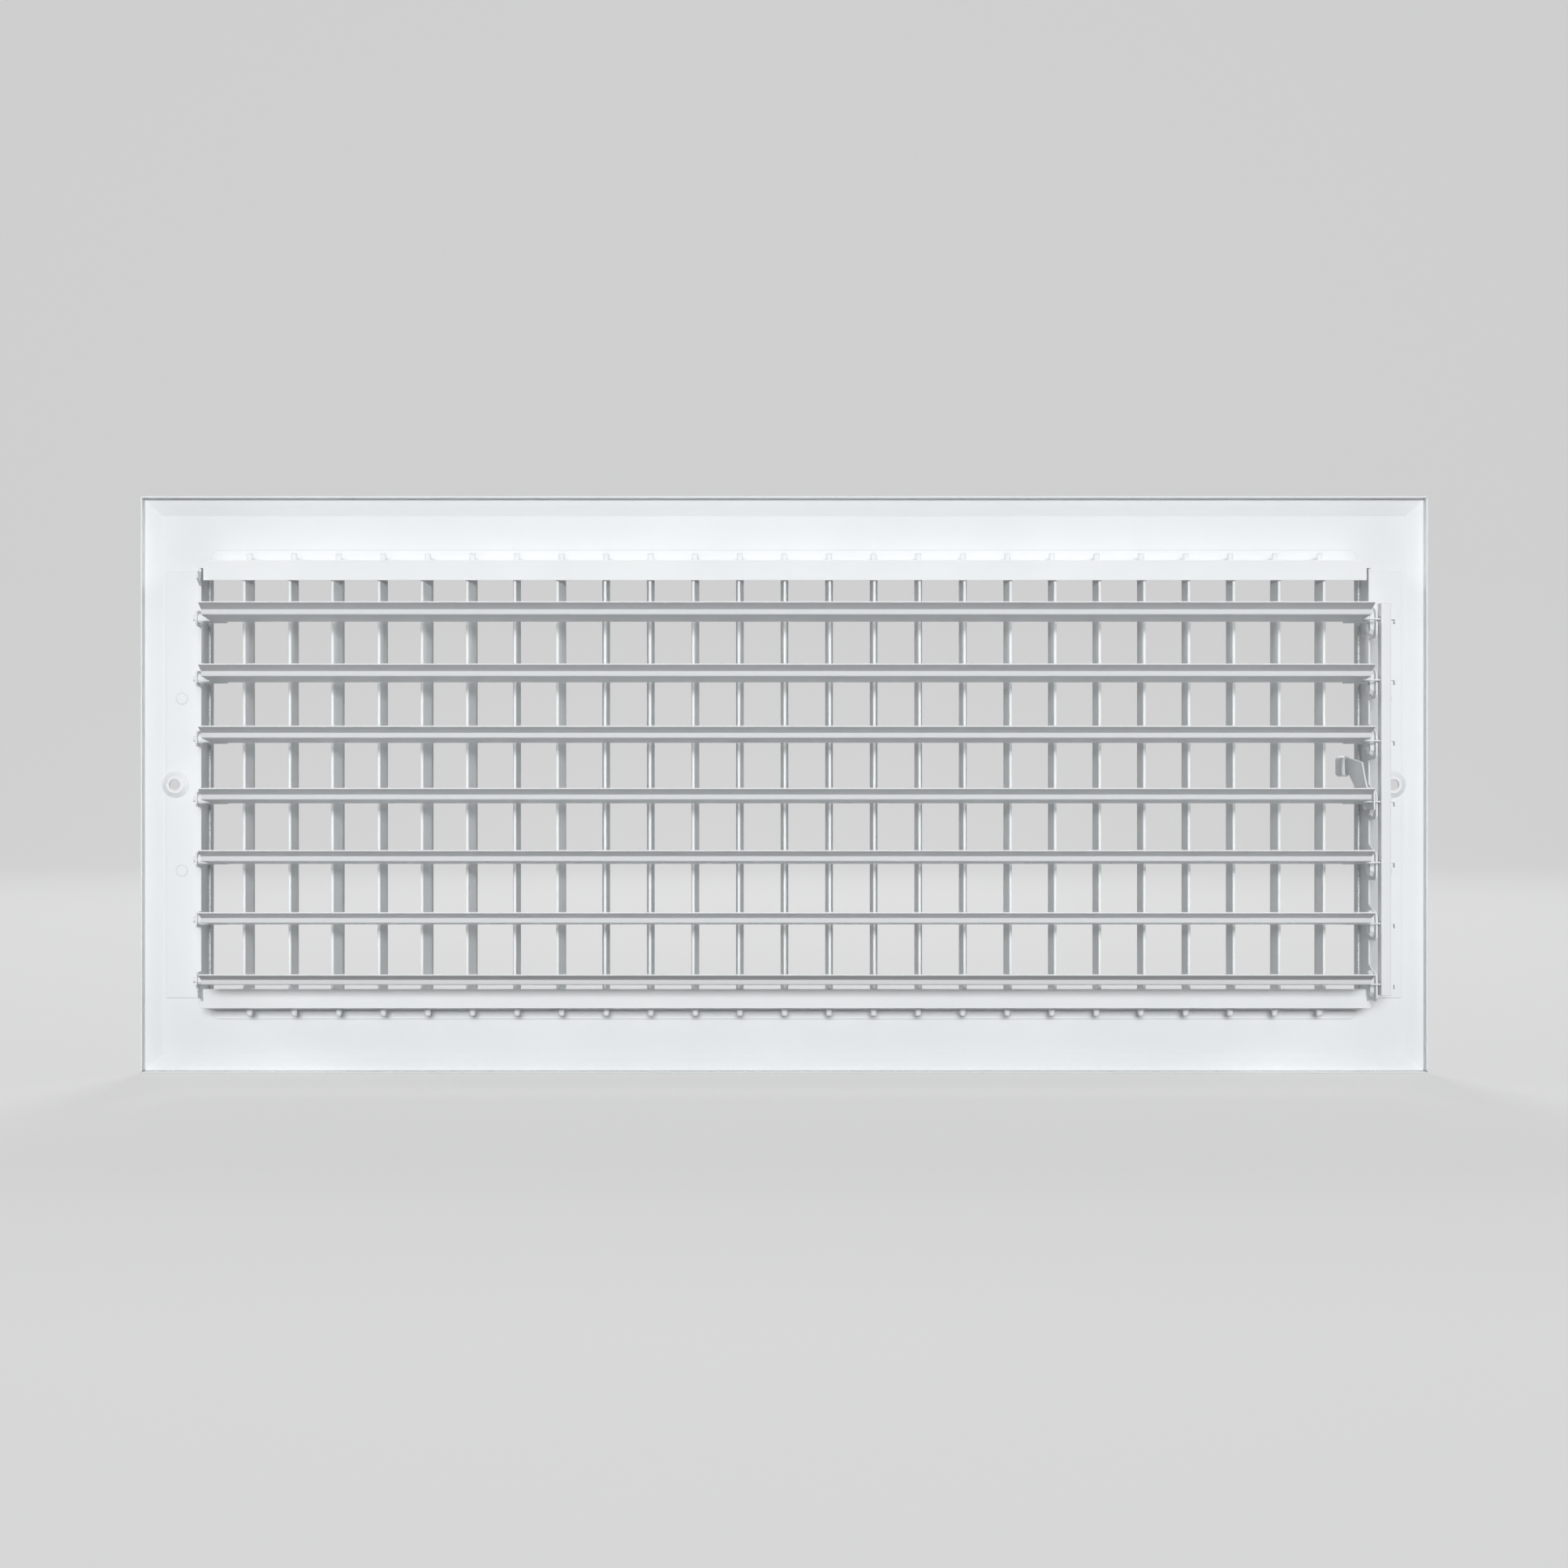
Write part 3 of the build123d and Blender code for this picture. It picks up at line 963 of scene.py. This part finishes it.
@dataclass
class Studio:
    """Pale sweep, soft lamps and the photograph's camera."""

    lamps: tuple[SoftLamp, ...] = (
        SoftLamp("key_panel", (-0.05, -4.0, 0.74), (1.3, 0.7), 129.0),
        SoftLamp("left_panel", (-3.0, -0.4, 1.2), (0.8, 0.8), 22.0),
        SoftLamp("right_panel", (3.0, -0.4, 1.2), (0.8, 0.8), 22.0),
        SoftLamp("room_panel", (0.0, 2.0, 1.6), (0.8, 0.8), 40.0),
    )
    world_colour: Colour = (0.985, 0.99, 1.0)
    world_light: float = 0.06
    sweep_half: float = 5.0
    sweep_back: float = 3.0
    sweep_height: float = 4.0
    sweep_round: float = 0.6
    sweep_segments: int = 16
    sweep_colour: Colour = (0.14, 0.141, 0.142)
    sweep_roughness: float = 0.9
    sweep_specular: float = 0.1
    glow: float = 0.56
    camera_x: float = -0.021
    camera_distance: float = 1.0
    view_width: float = 0.6729
    rim_centre: Span = (966.35, 966.85)
    sensor: float = 36.0

    def seen_glow(self, wiring: Wiring, otherwise: float) -> bpy.types.NodeSocket:
        """Glow for rays that show the surroundings, and another strength for rays that light.

        Args:
            wiring: Wiring of the material or world.
            otherwise: Strength for the rays that light.

        Returns:
            Socket of the strength.
        """
        path = wiring.add("ShaderNodeLightPath").outputs
        seen = wiring.math("MAXIMUM", path["Is Camera Ray"], path["Is Glossy Ray"])
        seen = wiring.math("MAXIMUM", seen, path["Is Transmission Ray"])
        return wiring.band(seen, 0.0, 1.0, otherwise, self.glow)

    def sweep(self) -> None:
        """Build the floor that curves up into the backdrop."""
        low, _ = CAD_BOX
        bpy.ops.mesh.primitive_plane_add(size=1, location=(0, 0, 0))
        sheet = bpy.context.active_object
        sheet.name = "sweep"
        sheet.scale = (2 * self.sweep_half, self.sweep_half + self.sweep_back, 1)
        sheet.location = (0, (self.sweep_back - self.sweep_half) / 2, low.z)
        settle(sheet)
        unselect(sheet.data)
        for edge in sheet.data.edges:
            edge.select = all(sheet.data.vertices[v].co.y > 0 for v in edge.vertices)
        bpy.ops.object.mode_set(mode="EDIT")
        bpy.ops.mesh.select_mode(type="EDGE")
        upward = (0, 0, self.sweep_height)
        bpy.ops.mesh.extrude_region_move(TRANSFORM_OT_translate={"value": upward})
        bpy.ops.object.mode_set(mode="OBJECT")
        finish_with(
            sheet,
            "BEVEL",
            width=self.sweep_round,
            segments=self.sweep_segments,
            limit_method="ANGLE",
        )
        bpy.ops.object.shade_smooth()
        paper = bpy.data.materials.new("sweep_paper")
        paper.use_nodes = True
        shader = paper.node_tree.nodes["Principled BSDF"]
        shader.inputs["Base Color"].default_value = (*self.sweep_colour, 1.0)
        shader.inputs["Roughness"].default_value = self.sweep_roughness
        shader.inputs["Specular IOR Level"].default_value = self.sweep_specular
        shader.inputs["Emission Color"].default_value = (*WHITE, 1.0)
        wiring = Wiring(paper.node_tree)
        wiring.link(self.seen_glow(wiring, 0.0), shader.inputs["Emission Strength"])
        dress(sheet, paper)

    def world(self) -> None:
        """Fill the surroundings with even light."""
        sky = bpy.data.worlds.new("studio")
        sky.use_nodes = True
        back = sky.node_tree.nodes["Background"]
        back.inputs["Color"].default_value = (*self.world_colour, 1.0)
        wiring = Wiring(sky.node_tree)
        wiring.link(self.seen_glow(wiring, self.world_light), back.inputs["Strength"])
        bpy.context.scene.world = sky

    def camera(self) -> None:
        """Stand the camera where the photograph was taken from."""
        data = bpy.data.cameras.new("camera")
        data.sensor_width = self.sensor
        data.lens = self.sensor * self.camera_distance / self.view_width
        middle = PHOTO_PIXELS / 2
        across, down = ((pixel - middle) / PHOTO_PIXELS for pixel in self.rim_centre)
        data.shift_x = -self.camera_x / self.view_width - across
        data.shift_y = down
        eye = bpy.data.objects.new("camera", data)
        eye.location = (self.camera_x, -self.camera_distance, 0.0)
        eye.rotation_euler = (RIGHT_ANGLE, 0, 0)
        bpy.context.scene.collection.objects.link(eye)
        bpy.context.scene.camera = eye

    def build(self) -> None:
        """Set up sweep, lamps, surroundings and camera."""
        self.sweep()
        for lamp in self.lamps:
            lamp.build()
        self.world()
        self.camera()
        bpy.context.scene.view_settings.view_transform = "Standard"


def main() -> None:
    """Build every sub-assembly in order."""
    logging.basicConfig(level=logging.INFO, format="%(name)s: %(message)s")
    shelf = FinishShelf()
    shelf.build()
    shelf.dress_solids()
    for assembly in (FaceFrame(), FinBank(), DamperBank(), LeverKnob()):
        assembly.build(shelf)
    Studio().build()


if __name__ == "__main__":
    main()
